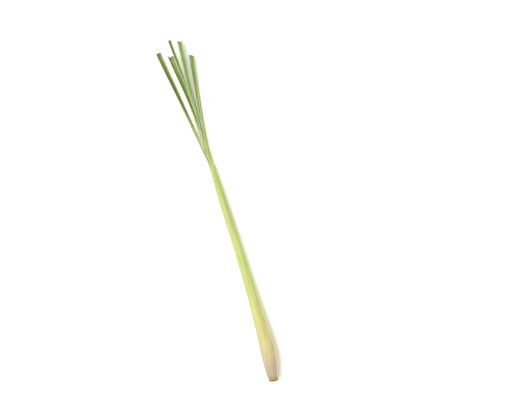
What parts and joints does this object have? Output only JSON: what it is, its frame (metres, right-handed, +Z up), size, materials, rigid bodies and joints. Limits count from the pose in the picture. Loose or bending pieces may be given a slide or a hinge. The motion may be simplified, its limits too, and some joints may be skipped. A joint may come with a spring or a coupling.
{
  "type": "lemongrass stalk",
  "caption": "Cut lemongrass stalk lying on its side: a pale swollen root end, a long rolled green stem and trimmed blades fanning out at the top.",
  "frame": {"origin": "on the surface it lies on, under the belly of the bulb, where the outermost leaf is pressed flat", "axes": "+Y along the stalk from the root end to the cut blades, +X to the side the second and fourth leaves lean to, +Z up"},
  "size_m": [0.0416, 0.4106, 0.0181],
  "materials": {
    "culm": "matte",
    "outer_leaf": "satin",
    "second_leaf": "satin",
    "third_leaf": "satin",
    "fourth_leaf": "satin",
    "heart_leaf": "satin"
  },
  "bodies": {
    "root": {"culm": "culm", "outer_leaf": "outer_leaf", "second_leaf": "second_leaf", "third_leaf": "third_leaf", "fourth_leaf": "fourth_leaf", "heart_leaf": "heart_leaf"}
  },
  "joints": []
}
